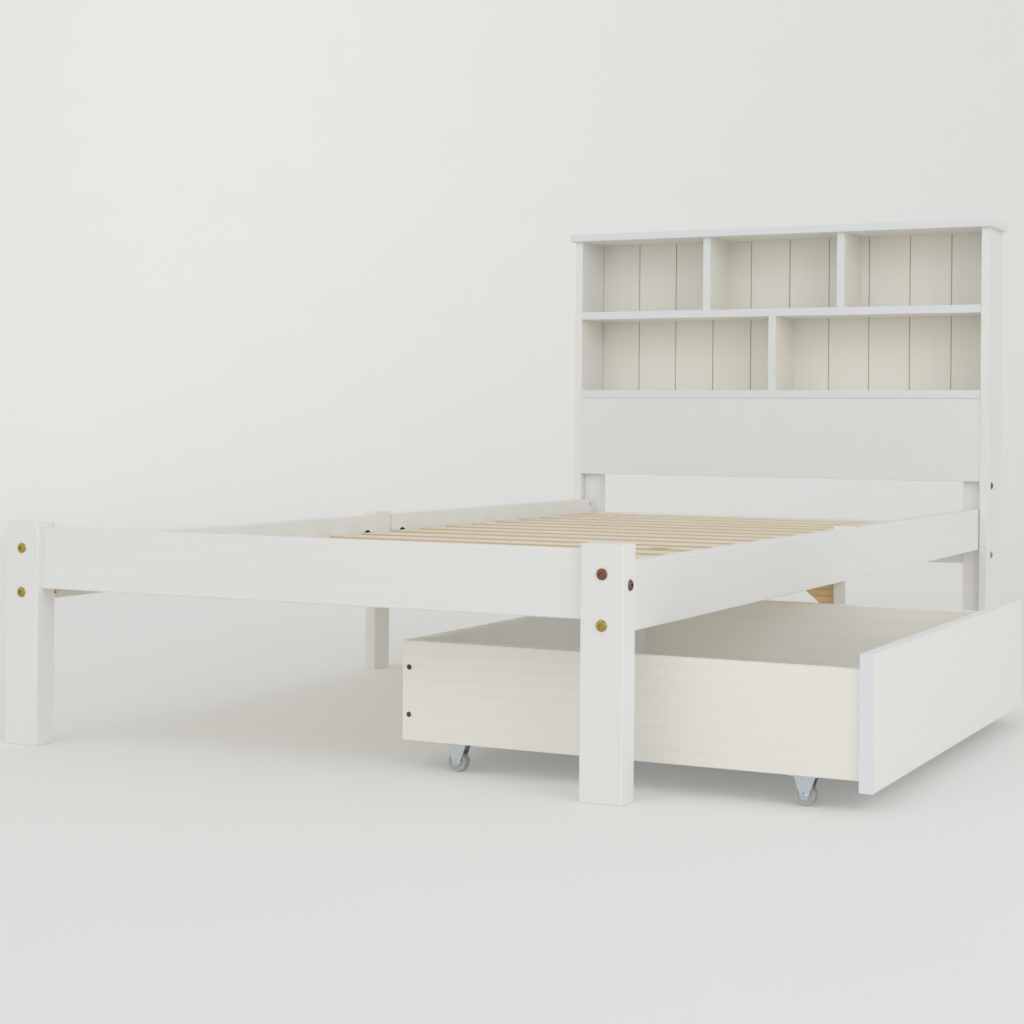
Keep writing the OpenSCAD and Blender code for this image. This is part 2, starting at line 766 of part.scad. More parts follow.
module drawer_screws() {
    color(brass) {
        for (p = corner_screws) translate(p[0]) aim(p[1]) flush_screw(p[2]);
        for (p = plate_screws) translate(p[0]) aim(p[1]) pan_screw(p[2]);
    }
}

module headboard_dowels() {
    color(beech) for (p = all_dowels) translate(p[0]) aim(p[1])
        translate([0, 0, -dowel_long]) cylinder(d = dowel_d, h = dowel_long + dowel_short);
}

// ---- All pieces ---------------------------------------------------------------------------

// Puts the origin on the floor under the middle of the whole object.
module place() {
    translate([-(x_min + x_max) / 2, -(y_min + headboard_back_y) / 2, 0]) children();
}

place() foot_post(-1);  // foot_post_left
place() foot_post(1);  // foot_post_right
place() foot_rail();
place() side_rail_foot(-1);  // side_rail_left_foot
place() side_rail_head(-1);  // side_rail_left_head
place() side_rail_foot(1);  // side_rail_right_foot
place() side_rail_head(1);  // side_rail_right_head
place() mid_leg(-1);  // mid_leg_left
place() mid_leg(1);  // mid_leg_right
place() mid_cross_beam();
place() gussets();
place() slat_bearers(-1);  // slat_bearers_left
place() slat_bearers(1);  // slat_bearers_right
place() head_cross_rail();
for (i = [0:slat_count - 1]) place() slat(i);
place() headboard_side(-1);  // headboard_side_left
place() headboard_side(1);  // headboard_side_right
place() headboard_post(-1);  // headboard_post_left
place() headboard_post(1);  // headboard_post_right
place() headboard_top();
place() shelf(mid_shelf_z);  // shelf_middle
place() shelf(low_shelf_z);  // shelf_lower
place() upper_divider(-1);  // divider_upper_left
place() upper_divider(1);  // divider_upper_right
place() lower_divider();  // divider_lower
place() back_panel();
place() headboard_panel();
place() drawer_front();
place() drawer_side(side_y0, corner_screws);  // drawer_side_foot
place() drawer_side(side_y1 - drawer_side_t, corner_screws);  // drawer_side_head
place() drawer_back();
place() drawer_base();
place() caster_brackets();
place() caster_axles();
for (i = [0:len(casters) - 1]) place() caster_wheel(casters[i]);
place() frame_bolts();
place() frame_nuts();
place() slat_screws();
place() drawer_screws();
place() headboard_dowels();
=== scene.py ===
# %% [markdown]
# # A white pine bed frame, finished in Blender
#
# The bed comes as a finished set of boards, bolts and casters, every one in its place.
# This lesson gives it its looks: paint that lets the grain through, bare pine slats, plated
# steel, moulded wheels, soft studio light and a level camera.
#
# We start by loading the parts. They are in metres, +Z is up, and nothing is moved again.

# %% Load the bed
import math

import bpy
from mathutils import Matrix, Vector


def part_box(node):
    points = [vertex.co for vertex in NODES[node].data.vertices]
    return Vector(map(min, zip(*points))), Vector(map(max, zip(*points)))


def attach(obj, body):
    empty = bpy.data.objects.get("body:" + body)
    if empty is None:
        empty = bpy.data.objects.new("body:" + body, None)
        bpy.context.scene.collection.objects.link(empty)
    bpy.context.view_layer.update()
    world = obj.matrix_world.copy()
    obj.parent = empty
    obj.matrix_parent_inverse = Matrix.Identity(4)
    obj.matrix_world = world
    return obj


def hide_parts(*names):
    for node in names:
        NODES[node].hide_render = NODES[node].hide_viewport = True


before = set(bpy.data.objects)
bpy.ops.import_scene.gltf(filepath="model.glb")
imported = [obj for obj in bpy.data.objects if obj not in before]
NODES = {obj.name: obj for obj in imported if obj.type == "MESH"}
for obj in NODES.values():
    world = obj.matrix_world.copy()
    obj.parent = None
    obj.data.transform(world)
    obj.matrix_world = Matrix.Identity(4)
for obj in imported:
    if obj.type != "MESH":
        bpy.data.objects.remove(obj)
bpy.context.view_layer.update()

# %% [markdown]
# ## Reading places from the parts
#
# A good scene script has no loose coordinates. The middle of the bed, its front edge and the
# line of the rails are all read from the boxes around the parts, so the script still fits if
# the bed is made a little longer. The middle of the bed isn't the middle of the scene, because
# the drawer stands out on one side.

# %% Key places
rail_low, rail_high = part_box("side_rail_right_foot")
post_low, post_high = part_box("foot_post_right")
leg_low, leg_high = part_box("mid_leg_right")
board_low, board_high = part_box("headboard_side_right")
head_post_low, head_post_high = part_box("headboard_post_right")

bed_x = (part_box("foot_post_left")[0].x + post_high.x) / 2
bed_front = Vector((bed_x, post_low.y, 0.0))
print("bed middle x", round(bed_x, 4), "bed front y", round(bed_front.y, 4))

# %% [markdown]
# ## Camera
#
# The bed is looked at from its foot corner, a little above the rails. The camera is kept
# level, as is usual for furniture, so that upright posts stay upright; the picture is dropped
# with the shift of the lens in place of a tilt. The camera's place is given from the front
# edge of the bed. The Standard view transform shows white paint as white, where a filmic one
# would turn it grey.

# %% A level camera at the foot corner
CAMERA_STAND = Vector((1.4560, -2.2513, 0.4795))
CAMERA_TURN = 0.4599
CAMERA_ROLL = 0.0086
CAMERA_LENS = 67.973
CAMERA_SHIFT = -0.0844


def make_camera():
    data = bpy.data.cameras.new("studio_camera")
    data.sensor_width = 36.0
    data.lens = CAMERA_LENS
    data.shift_y = CAMERA_SHIFT
    camera = bpy.data.objects.new("studio_camera", data)
    bpy.context.scene.collection.objects.link(camera)
    level = Matrix.Rotation(math.pi / 2, 4, "X")
    turn = Matrix.Rotation(CAMERA_TURN, 4, "Z")
    roll = Matrix.Rotation(CAMERA_ROLL, 4, "Z")
    camera.matrix_world = Matrix.Translation(bed_front + CAMERA_STAND) @ turn @ level @ roll
    bpy.context.scene.camera = camera
    return camera


camera = make_camera()
bpy.context.scene.view_settings.view_transform = "Standard"
print("camera at", [round(v, 3) for v in camera.location], "lens", CAMERA_LENS)

# %% [markdown]
# ## Small helpers for materials
#
# Node materials get long when every link has its own line. A few short helpers keep them
# readable: each adds a node and fills its sockets, where a value is either a plain number or
# another node's output, and most of them give back just the output that is wanted.


# %% Node helpers
def fill(tree, node, sockets):
    """Links or fills the sockets of a node, given by name or number."""
    for name, value in sockets.items():
        if isinstance(value, bpy.types.NodeSocket):
            tree.links.new(value, node.inputs[name])
        else:
            node.inputs[name].default_value = value


def put(tree, kind, sockets=None, **settings):
    """Adds a node, sets its options, and links or fills its sockets."""
    node = tree.nodes.new(kind)
    for name, value in settings.items():
        setattr(node, name, value)
    fill(tree, node, sockets or {})
    return node


def maths(tree, operation, a, b=0.0, clamp=False):
    """One Math node on two values, and its output."""
    node = put(tree, "ShaderNodeMath", {0: a, 1: b}, operation=operation, use_clamp=clamp)
    return node.outputs[0]


def scaled(tree, vector, factors):
    """A vector with each of its parts multiplied."""
    node = put(tree, "ShaderNodeVectorMath", {0: vector, 1: factors}, operation="MULTIPLY")
    return node.outputs[0]


def noise(tree, vector, scale, detail):
    """The value of a Noise Texture, near 0.5 on average."""
    node = put(tree, "ShaderNodeTexNoise", {"Vector": vector, "Scale": scale, "Detail": detail})
    return node.outputs[0]


def smooth_step(tree, value, low, high):
    """0 below low, 1 above high, and smooth between them."""
    node = put(tree, "ShaderNodeMapRange", {"Value": value, "From Min": low, "From Max": high},
               interpolation_type="SMOOTHSTEP")
    return node.outputs["Result"]


def blend_colour(tree, factor, a, b):
    """Mixes two colours by a factor, and gives the result."""
    node = put(tree, "ShaderNodeMix", {0: factor, 6: a, 7: b}, data_type="RGBA")
    return node.outputs[2]


def new_group(name, inputs, outputs):
    """An empty shader group with its sockets: (name, socket type, default value)."""
    group = bpy.data.node_groups.new(name, "ShaderNodeTree")
    for label, kind, value in inputs:
        socket = group.interface.new_socket(label, in_out="INPUT", socket_type=kind)
        if value is not None:
            socket.default_value = value
    for label, kind in outputs:
        group.interface.new_socket(label, in_out="OUTPUT", socket_type=kind)
    entry = group.nodes.new("NodeGroupInput")
    leave = group.nodes.new("NodeGroupOutput")
    return group, entry.outputs, leave.inputs


def use_group(tree, group, sockets):
    """Places a group in a material and fills its sockets."""
    node = put(tree, "ShaderNodeGroup", node_tree=group)
    fill(tree, node, sockets)
    return node.outputs


def new_material(name):
    """A material with its Principled BSDF and its tree."""
    material = bpy.data.materials.new(name)
    material.use_nodes = True
    return material, material.node_tree, material.node_tree.nodes["Principled BSDF"]


def linear(*screen):
    """A colour picked on screen (0 to 255), as the linear colour that nodes need."""
    parts = [value / 255 for value in screen]
    return (*[v / 12.92 if v < 0.0404 else ((v + 0.055) / 1.055) ** 2.4 for v in parts], 1.0)


FLOAT, COLOUR, VECTOR = "NodeSocketFloat", "NodeSocketColor", "NodeSocketVector"
print("helpers ready")

# %% [markdown]
# ## The figure of pine
#
# Planed pine shows three things: growth rings that run along the board and wander a little,
# fine fibres, and a knot here and there that the rings flow around. All three are patterns
# in the length of the board, so the group works on coordinates whose X runs along the grain.
# A picture of wood would repeat and need unwrapping; noise in object space is solid, so the
# pattern carries round every edge as it does on real timber.


# %% Group: pine figure
# How often each figure repeats in a metre: along the grain, and twice across it.
DRIFT_STRETCH = (0.5, 5.0, 5.0)
CELL_STRETCH = (2.2, 9.0, 9.0)
FIBRE_STRETCH = (9.0, 620.0, 620.0)
CLOUD_STRETCH = (1.6, 6.0, 6.0)


def make_pine_figure():
    group, given, out = new_group(
        "pine_figure",
        [("Along", VECTOR, None), ("Ring Width", FLOAT, 0.009), ("Knots", FLOAT, 0.5)],
        [("Rings", FLOAT), ("Fibre", FLOAT), ("Knot", FLOAT), ("Cloud", FLOAT)])
    drift = noise(group, scaled(group, given["Along"], DRIFT_STRETCH), 1.0, 2.0)
    parts = put(group, "ShaderNodeSeparateXYZ", {0: given["Along"]})
    tilt = maths(group, "MULTIPLY", parts.outputs["Z"], 0.55)
    across = maths(group, "ADD", parts.outputs["Y"], tilt)
    turns = maths(group, "DIVIDE", across, given["Ring Width"])
    swing = maths(group, "MULTIPLY", drift, 9.0)

    # A knot is the middle of a long cell; only a few cells have one.
    cell_at = scaled(group, given["Along"], CELL_STRETCH)
    cells = put(group, "ShaderNodeTexVoronoi", {
        "Vector": cell_at, "Scale": 1.0, "Randomness": 1.0})
    chance = put(group, "ShaderNodeSeparateColor", {0: cells.outputs["Color"]})
    chosen = maths(group, "LESS_THAN", chance.outputs[0], given["Knots"])
    near = smooth_step(group, cells.outputs["Distance"], 0.30, 0.02)
    around = maths(group, "MULTIPLY", near, chosen)
    core = smooth_step(group, cells.outputs["Distance"], 0.075, 0.035)
    group.links.new(maths(group, "MULTIPLY", core, chosen), out["Knot"])

    straight = maths(group, "ADD", turns, swing)
    bent = maths(group, "ADD", straight, maths(group, "MULTIPLY", around, 3.2))
    wave = maths(group, "SINE", maths(group, "MULTIPLY", bent, math.tau))
    group.links.new(smooth_step(group, wave, -0.2, 1.0), out["Rings"])

    fibre_at = scaled(group, given["Along"], FIBRE_STRETCH)
    group.links.new(noise(group, fibre_at, 1.0, 2.0), out["Fibre"])
    cloud_at = scaled(group, given["Along"], CLOUD_STRETCH)
    group.links.new(noise(group, cloud_at, 1.0, 3.0), out["Cloud"])
    return group


PINE_FIGURE = make_pine_figure()
print("group", PINE_FIGURE.name, len(PINE_FIGURE.nodes), "nodes")

# %% [markdown]
# ## A thin coat of paint
#
# White paint on pine isn't flat. It sinks a little into the soft early wood, so the rings
# show as the faintest relief, the fibres give it a brushed sheen, and the tone drifts by a
# few parts in a hundred. The group takes the figure of the wood and gives the colour, the
# roughness and the height of the coat. The shader itself stays in each material.


# %% Group: paint over pine
def make_paint_film():
    group, given, out = new_group(
        "paint_film",
        [("Coat", COLOUR, (0.8, 0.8, 0.8, 1)), ("Thin", COLOUR, (0.7, 0.68, 0.6, 1)),
         ("Rings", FLOAT, 0.0), ("Fibre", FLOAT, 0.0), ("Knot", FLOAT, 0.0),
         ("Cloud", FLOAT, 0.5), ("Sink", FLOAT, 0.2)],
        [("Colour", COLOUR), ("Roughness", FLOAT), ("Height", FLOAT)])
    drift = smooth_step(group, given["Cloud"], 0.35, 0.7)
    streak = smooth_step(group, given["Fibre"], 0.4, 0.8)
    rings = maths(group, "MULTIPLY", given["Rings"], 0.45)
    worn = maths(group, "ADD", rings, maths(group, "MULTIPLY", drift, 0.55))
    worn = maths(group, "ADD", worn, maths(group, "MULTIPLY", streak, 0.3))
    worn = maths(group, "ADD", worn, maths(group, "MULTIPLY", given["Knot"], 0.9))
    amount = maths(group, "MULTIPLY", worn, given["Sink"], clamp=True)
    group.links.new(blend_colour(group, amount, given["Coat"], given["Thin"]), out["Colour"])
    dull = maths(group, "ADD", 0.36, maths(group, "MULTIPLY", given["Fibre"], 0.16))
    dull = maths(group, "ADD", dull, maths(group, "MULTIPLY", given["Cloud"], 0.06))
    group.links.new(dull, out["Roughness"])
    relief = maths(group, "SUBTRACT", maths(group, "MULTIPLY", given["Fibre"], 0.5), given["Rings"])
    relief = maths(group, "ADD", relief, maths(group, "MULTIPLY", given["Knot"], 0.6))
    group.links.new(relief, out["Height"])
    return group


PAINT_FILM = make_paint_film()
print("group", PAINT_FILM.name, len(PAINT_FILM.nodes), "nodes")

# %% [markdown]
# ## Grain that follows each board
#
# A rail's grain runs along the bed, a post's runs up it and a shelf's runs across it. The
# same figure serves all three: a Mapping node turns the coordinates so that the grain's X
# lies along the board. The turn is the only thing that differs, so one function makes the
# material for any direction.

# %% Coordinates along the grain
GRAIN_TURN = {
    "x": (0.0, 0.0, 0.0),
    "y": (0.0, 0.0, math.pi / 2),
    "z": (0.0, math.pi / 2, 0.0),
}


def figure_of(tree, grain, ring_width, knots):
    """The pine figure for a board whose length runs along grain."""
    at = put(tree, "ShaderNodeTexCoord").outputs["Object"]
    turned = put(tree, "ShaderNodeMapping", {"Vector": at, "Rotation": GRAIN_TURN[grain]})
    return at, use_group(tree, PINE_FIGURE, {
        "Along": turned.outputs[0], "Ring Width": ring_width, "Knots": knots})


def facing_foot(tree, low=0.80, high=0.95):
    """1 on faces that look towards the foot end, and 0 on those that don't."""
    normal = put(tree, "ShaderNodeTexCoord").outputs["Normal"]
    towards = put(tree, "ShaderNodeVectorMath", {0: normal, 1: (0.0, -1.0, 0.0)},
                  operation="DOT_PRODUCT")
    return smooth_step(tree, towards.outputs["Value"], low, high)


print("grain directions", sorted(GRAIN_TURN))

# %% [markdown]
# ## Painted boards
#
# Two paints are used. The frame has a clean, slightly cool white. The shelves, the back and
# the drawer's box have a thinner, creamier one that looks warm where the light is low. The
# front edges of the shelves are banded in a colder white, which is painted by a mask on the
# direction a face looks in. The headboard's low panel is a smooth sheet, so its paint shows
# next to no grain.

# %% Paint materials
CLEAN_WHITE = linear(238, 238, 236)
CLEAN_THIN = linear(226, 224, 216)
CREAM_WHITE = linear(243, 241, 234)
CREAM_THIN = linear(232, 227, 211)
EDGE_WHITE = linear(231, 233, 237)


PAINTED_RING = 0.011  # width of a growth ring under the paint
PAINT_DEPTH = 0.0004  # depth of the bump
PAINT_SHINE = 0.4


def paint_layers(tree, grain, coat, thin, sink, knots=0.12):
    """The coordinates, the wood's figure and the film of paint over it."""
    at, figure = figure_of(tree, grain, PAINTED_RING, knots)
    film = use_group(tree, PAINT_FILM, {
        "Coat": coat, "Thin": thin, "Rings": figure["Rings"], "Fibre": figure["Fibre"],
        "Knot": figure["Knot"], "Cloud": figure["Cloud"], "Sink": sink})
    return at, figure, film


def lay_paint(tree, shader, colour, roughness, height, relief):
    """Links a coat of paint to the shader."""
    tree.links.new(colour, shader.inputs["Base Color"])
    tree.links.new(roughness, shader.inputs["Roughness"])
    bump = put(tree, "ShaderNodeBump", {
        "Height": height, "Strength": relief, "Distance": PAINT_DEPTH})
    tree.links.new(bump.outputs[0], shader.inputs["Normal"])
    shader.inputs["Specular IOR Level"].default_value = PAINT_SHINE


def painted(name, grain, coat, thin, sink=0.16, relief=0.16, banded=False):
    """Paint over pine with its grain along one axis."""
    material, tree, shader = new_material(name)
    _, _, film = paint_layers(tree, grain, coat, thin, sink)
    colour = film["Colour"]
    if banded:
        colour = blend_colour(tree, facing_foot(tree), colour, EDGE_WHITE)
    lay_paint(tree, shader, colour, film["Roughness"], film["Height"], relief)
    return material


WHITE = {axis: painted("white_paint_" + axis, axis, CLEAN_WHITE, CLEAN_THIN) for axis in "xyz"}
PLAIN_WHITE = painted("white_paint_plain", "x", linear(233, 237, 234), linear(226, 230, 226),
                      sink=0.06, relief=0.04)
WHITE_BANDED = painted("white_paint_banded", "x", CLEAN_WHITE, CLEAN_THIN, banded=True)
WHITE_END_BANDED = painted("white_paint_drawer_front", "y", CLEAN_WHITE, CLEAN_THIN, banded=True)
CREAM = painted("cream_paint_x", "x", CREAM_WHITE, CREAM_THIN, 0.22, 0.18)
CREAM_BANDED = {
    axis: painted("cream_paint_banded_" + axis, axis, CREAM_WHITE, CREAM_THIN, 0.2, 0.16, True)
    for axis in "xz"}
print("painted finishes", len(WHITE) + len(CREAM_BANDED) + 4)

# %% [markdown]
# ## The grooved back
#
# The back panel is one sheet with shallow V grooves that make it look like narrow boards. The
# grooves are painted darker as painted shade. They are evenly spaced between the panel's ends,
# so the distance to the nearest one follows from the panel's own box. The back of the sheet is
# flat, so only faces that look towards the foot are darkened.

# %% Cream paint with dark grooves
BACK_BOARDS = 10
GROOVE_HALF = 0.0014
GROOVE_SHADE = 0.8
# the colour of the painted shade in the grooves
GROOVE_PAINTED_SHADE = linear(168, 164, 142)


def grooved_paint():
    """Cream paint with painted shade darkening the grooves of the back panel's front."""
    material, tree, shader = new_material("cream_paint_grooved")
    at, _, film = paint_layers(tree, "z", CREAM_WHITE, CREAM_THIN, 0.16, 0.1)
    low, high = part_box("back_panel")
    pitch = (high.x - low.x) / BACK_BOARDS
    across = put(tree, "ShaderNodeSeparateXYZ", {0: at}).outputs["X"]
    boards = maths(tree, "DIVIDE", maths(tree, "SUBTRACT", across, low.x), pitch)
    off = maths(tree, "ABSOLUTE", maths(tree, "SUBTRACT", boards, maths(tree, "ROUND", boards)))
    half = GROOVE_HALF / pitch
    groove = maths(tree, "SUBTRACT", 1.0, smooth_step(tree, off, 0.5 * half, half))
    groove = maths(tree, "MULTIPLY", groove, facing_foot(tree, 0.2, 0.5))
    # painted shade: the grooves are darkened in colour
    shade = maths(tree, "MULTIPLY", groove, GROOVE_SHADE)
    colour = blend_colour(tree, shade, film["Colour"], GROOVE_PAINTED_SHADE)
    lay_paint(tree, shader, colour, film["Roughness"], film["Height"], 0.14)
    return material


CREAM_GROOVED = grooved_paint()
print("grooved back", CREAM_GROOVED.name)

# %% [markdown]
# ## Rails with a bare pocket
#
# Beside each mid leg the side rail has a round pocket, bored after painting, so its wall is
# bare brown wood. The rail and its pocket are one part, so the pocket is found by its place:
# a mask is 1 inside a short cylinder that lies across the rail, just under its surface.

# %% Side rail paint with a bare bore
POCKET_RADIUS = 0.0172
POCKET_FROM_LEG = 0.040
BARE_BORE = linear(150, 112, 68)
BORE_RINGS = linear(112, 76, 40)
BORE_ROUGHNESS = 0.8
SKIN = 0.0003


def pocket_mask(tree, at, centre_y, centre_z, skin_low, skin_high):
    """1 inside the pocket's cylinder, and 0 on the rail's own faces."""
    spot = put(tree, "ShaderNodeSeparateXYZ", {0: at})
    dy = maths(tree, "SUBTRACT", spot.outputs["Y"], centre_y)
    dz = maths(tree, "SUBTRACT", spot.outputs["Z"], centre_z)
    square = maths(tree, "ADD", maths(tree, "MULTIPLY", dy, dy), maths(tree, "MULTIPLY", dz, dz))
    inside = maths(tree, "LESS_THAN", square, POCKET_RADIUS ** 2)
    below = maths(tree, "GREATER_THAN", spot.outputs["X"], skin_low)
    above = maths(tree, "LESS_THAN", spot.outputs["X"], skin_high)
    return maths(tree, "MULTIPLY", inside, maths(tree, "MULTIPLY", below, above))


def rail_paint(node):
    """White paint with the bare pocket of this half rail."""
    material, tree, shader = new_material("white_paint_" + node)
    at, figure, film = paint_layers(tree, "y", CLEAN_WHITE, CLEAN_THIN, 0.16)
    low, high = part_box(node)
    towards_leg = 1 if high.y < (leg_low.y + leg_high.y) / 2 else -1
    end_y = high.y if towards_leg > 0 else low.y
    mask = pocket_mask(tree, at, end_y - towards_leg * POCKET_FROM_LEG, (low.z + high.z) / 2,
                       low.x + SKIN, high.x - SKIN)
    bare = blend_colour(tree, figure["Rings"], BARE_BORE, BORE_RINGS)
    colour = blend_colour(tree, mask, film["Colour"], bare)
    rough = maths(tree, "MULTIPLY", mask, BORE_ROUGHNESS)
    rough = maths(tree, "MAXIMUM", film["Roughness"], rough)
    lay_paint(tree, shader, colour, rough, film["Height"], 0.22)
    return material


HALF_RAILS = ["side_rail_left_foot", "side_rail_left_head",
              "side_rail_right_foot", "side_rail_right_head"]
RAIL_PAINT = {node: rail_paint(node) for node in HALF_RAILS}
print("rail finishes", len(RAIL_PAINT))

# %% [markdown]
# ## Bare pine
#
# The slats are planed pine with no finish. Each is cut from a different board, so its tone
# differs a little from its neighbour's; a slow noise across the bed does that. Rings are
# honey coloured on a pale ground, and knots are brown with a dark rim. The slats' faces that
# look towards the foot are darker and warmer: partly the tone of the saw cut, partly painted
# shade on their shadow side. The gusset under the cross beam is an older, more golden piece.


# %% Bare pine materials
def bare_pine(name, grain, ground, ring, knot, ring_width=0.0075, knots=0.22, strength=0.75,
              sawn_and_shade=None):
    """Unpainted, planed pine; faces towards the foot can be darkened by a sawn tone and painted
    shade.
    """
    material, tree, shader = new_material(name)
    _, figure = figure_of(tree, grain, ring_width, knots)
    shade = maths(tree, "MULTIPLY", figure["Rings"], strength)
    colour = blend_colour(tree, shade, ground, ring)
    tone = smooth_step(tree, figure["Cloud"], 0.30, 0.72)
    colour = blend_colour(tree, maths(tree, "MULTIPLY", tone, 0.35), colour, ring)
    fine = maths(tree, "MULTIPLY", smooth_step(tree, figure["Fibre"], 0.45, 0.75), 0.25)
    colour = blend_colour(tree, fine, colour, ring)
    colour = blend_colour(tree, figure["Knot"], colour, knot)
    # faces towards the foot are darkened: partly the saw cut's tone, partly painted shade
    if sawn_and_shade:
        colour = blend_colour(tree, maths(tree, "MULTIPLY", facing_foot(tree), 0.8), colour, sawn_and_shade)
    tree.links.new(colour, shader.inputs["Base Color"])
    dull = maths(tree, "ADD", 0.52, maths(tree, "MULTIPLY", figure["Fibre"], 0.2))
    tree.links.new(dull, shader.inputs["Roughness"])
    relief = maths(tree, "SUBTRACT", figure["Fibre"], maths(tree, "MULTIPLY", figure["Rings"], 0.6))
    bump = put(tree, "ShaderNodeBump", {"Height": relief, "Strength": 0.35, "Distance": 0.0005})
    tree.links.new(bump.outputs[0], shader.inputs["Normal"])
    shader.inputs["Specular IOR Level"].default_value = 0.3
    return material


# the slats' faces towards the foot take a darker colour: partly sawn tone, partly painted shade
SLAT_PINE = bare_pine("slat_pine", "x", linear(243, 237, 224), linear(229, 213, 184),
                      linear(156, 116, 78), strength=0.6, sawn_and_shade=linear(212, 188, 150))
BEARER_PINE = bare_pine("bearer_pine", "y", linear(236, 220, 188), linear(214, 184, 134),
                        linear(124, 78, 40))
GOLDEN_PINE = bare_pine("golden_pine", "x", linear(252, 228, 182), linear(236, 194, 138),
                        linear(136, 86, 44), ring_width=0.006, knots=0.3, strength=0.9)
BEECH = bare_pine("beech_dowel", "z", linear(214, 176, 126), linear(188, 146, 96),
                  linear(150, 110, 70), ring_width=0.002, knots=0.0)
print("bare woods", SLAT_PINE.name, BEARER_PINE.name, GOLDEN_PINE.name, BEECH.name)

# %% [markdown]
# ## Plated steel
#
# Zinc plating is bright but never a mirror: it has small crystals, rubbed patches and, on
# the yellow kind, a tint that runs from straw to copper from one bolt to the next. A group
# gives the tint and the roughness; a fine noise breaks up the shine, and the way the tint
# leans across the bed tells the bolts apart.


# %% Group and materials: zinc plate
def make_plate_tone():
    group, given, out = new_group(
        "plate_tone",
        [("At", VECTOR, None), ("Tint", COLOUR, (0.6, 0.5, 0.2, 1)),
         ("Other Tint", COLOUR, (0.4, 0.2, 0.1, 1)), ("Pick", FLOAT, 0.0), ("Polish", FLOAT, 0.3)],
        [("Colour", COLOUR), ("Roughness", FLOAT), ("Height", FLOAT)])
    fine = noise(group, given["At"], 900.0, 3.0)
    colour = blend_colour(group, given["Pick"], given["Tint"], given["Other Tint"])
    dark = maths(group, "MULTIPLY", smooth_step(group, fine, 0.5, 0.8), 0.35)
    group.links.new(blend_colour(group, dark, colour, (0.03, 0.025, 0.02, 1)), out["Colour"])
    rough = maths(group, "ADD", given["Polish"], maths(group, "MULTIPLY", fine, 0.18))
    group.links.new(rough, out["Roughness"])
    group.links.new(fine, out["Height"])
    return group


PLATE_TONE = make_plate_tone()


def plated(name, tint, other, lean, polish):
    """A zinc plated steel, whose tint turns to the other one along the direction lean."""
    material, tree, shader = new_material(name)
    at = put(tree, "ShaderNodeTexCoord").outputs["Object"]
    along = put(tree, "ShaderNodeVectorMath", {0: at, 1: lean}, operation="DOT_PRODUCT")
    pick = smooth_step(tree, along.outputs["Value"], 2.7, 3.0)
    tone = use_group(tree, PLATE_TONE, {
        "At": at, "Tint": tint, "Other Tint": other, "Pick": pick, "Polish": polish})
    tree.links.new(tone["Colour"], shader.inputs["Base Color"])
    tree.links.new(tone["Roughness"], shader.inputs["Roughness"])
    bump = put(tree, "ShaderNodeBump", {
        "Height": tone["Height"], "Strength": 0.12, "Distance": 0.0002})
    tree.links.new(bump.outputs[0], shader.inputs["Normal"])
    shader.inputs["Metallic"].default_value = 1.0
    return material


YELLOW_ZINC = plated("yellow_zinc", linear(180, 162, 84), linear(138, 100, 80),
                     lean=(1.0, 0.0, 10.0), polish=0.12)
BRONZED = plated("bronzed_screw", linear(140, 92, 66), linear(112, 78, 60),
                 lean=(0.0, 0.0, 30.0), polish=0.25)
BRIGHT_ZINC = plated("bright_zinc", linear(206, 216, 222), linear(186, 196, 204),
                     lean=(0.0, 0.0, 10.0), polish=0.22)
print("plated finishes", YELLOW_ZINC.name, BRONZED.name, BRIGHT_ZINC.name)

# %% [markdown]
# ## Moulded wheel plastic
#
# The caster wheels are grey polypropylene. The tread is scuffed and a shade darker than the
# hub, and picks up dust. The wheel's own axis is its middle, so the distance from the axle
# tells tread from hub. Each wheel has its own centre, so each has its own material.


# %% Wheel plastic
WHEEL_GREY = linear(196, 194, 190)
WHEEL_DUST = linear(172, 170, 168)
WHEEL_SCUFF = linear(126, 124, 122)


def wheel_plastic(name, centre, radius):
    """Grey plastic, darker and rougher towards the tread."""
    material, tree, shader = new_material(name)
    at = put(tree, "ShaderNodeTexCoord").outputs["Object"]
    from_axle = put(tree, "ShaderNodeVectorMath", {0: at, 1: centre}, operation="SUBTRACT")
    flat = scaled(tree, from_axle.outputs[0], (1.0, 0.0, 1.0))
    reach = put(tree, "ShaderNodeVectorMath", {0: flat}, operation="LENGTH").outputs["Value"]
    tread = smooth_step(tree, reach, radius * 0.90, radius * 0.99)
    dust = noise(tree, at, 260.0, 4.0)
    scuff = maths(tree, "MULTIPLY", tread, smooth_step(tree, dust, 0.35, 0.65))
    colour = blend_colour(tree, maths(tree, "MULTIPLY", dust, 0.3), WHEEL_GREY, WHEEL_DUST)
    colour = blend_colour(tree, maths(tree, "MULTIPLY", scuff, 0.7), colour, WHEEL_SCUFF)
    tree.links.new(colour, shader.inputs["Base Color"])
    rough = maths(tree, "ADD", 0.34, maths(tree, "MULTIPLY", scuff, 0.35))
    tree.links.new(rough, shader.inputs["Roughness"])
    bump = put(tree, "ShaderNodeBump", {"Height": dust, "Strength": 0.2, "Distance": 0.0002})
    tree.links.new(bump.outputs[0], shader.inputs["Normal"])
    return material


print("wheel plastic ready")

# %% [markdown]
# ## Dressing the parts
#
# The boards keep the shape they came with. Dressing a part is only a matter of clearing its
# material slots and putting in the finish whose grain runs its way.


# %% Give every board its finish
def dress(material, *names):
    """Gives one finish to the named parts."""
    for name in names:
        slots = NODES[name].data.materials
        slots.clear()
        slots.append(material)


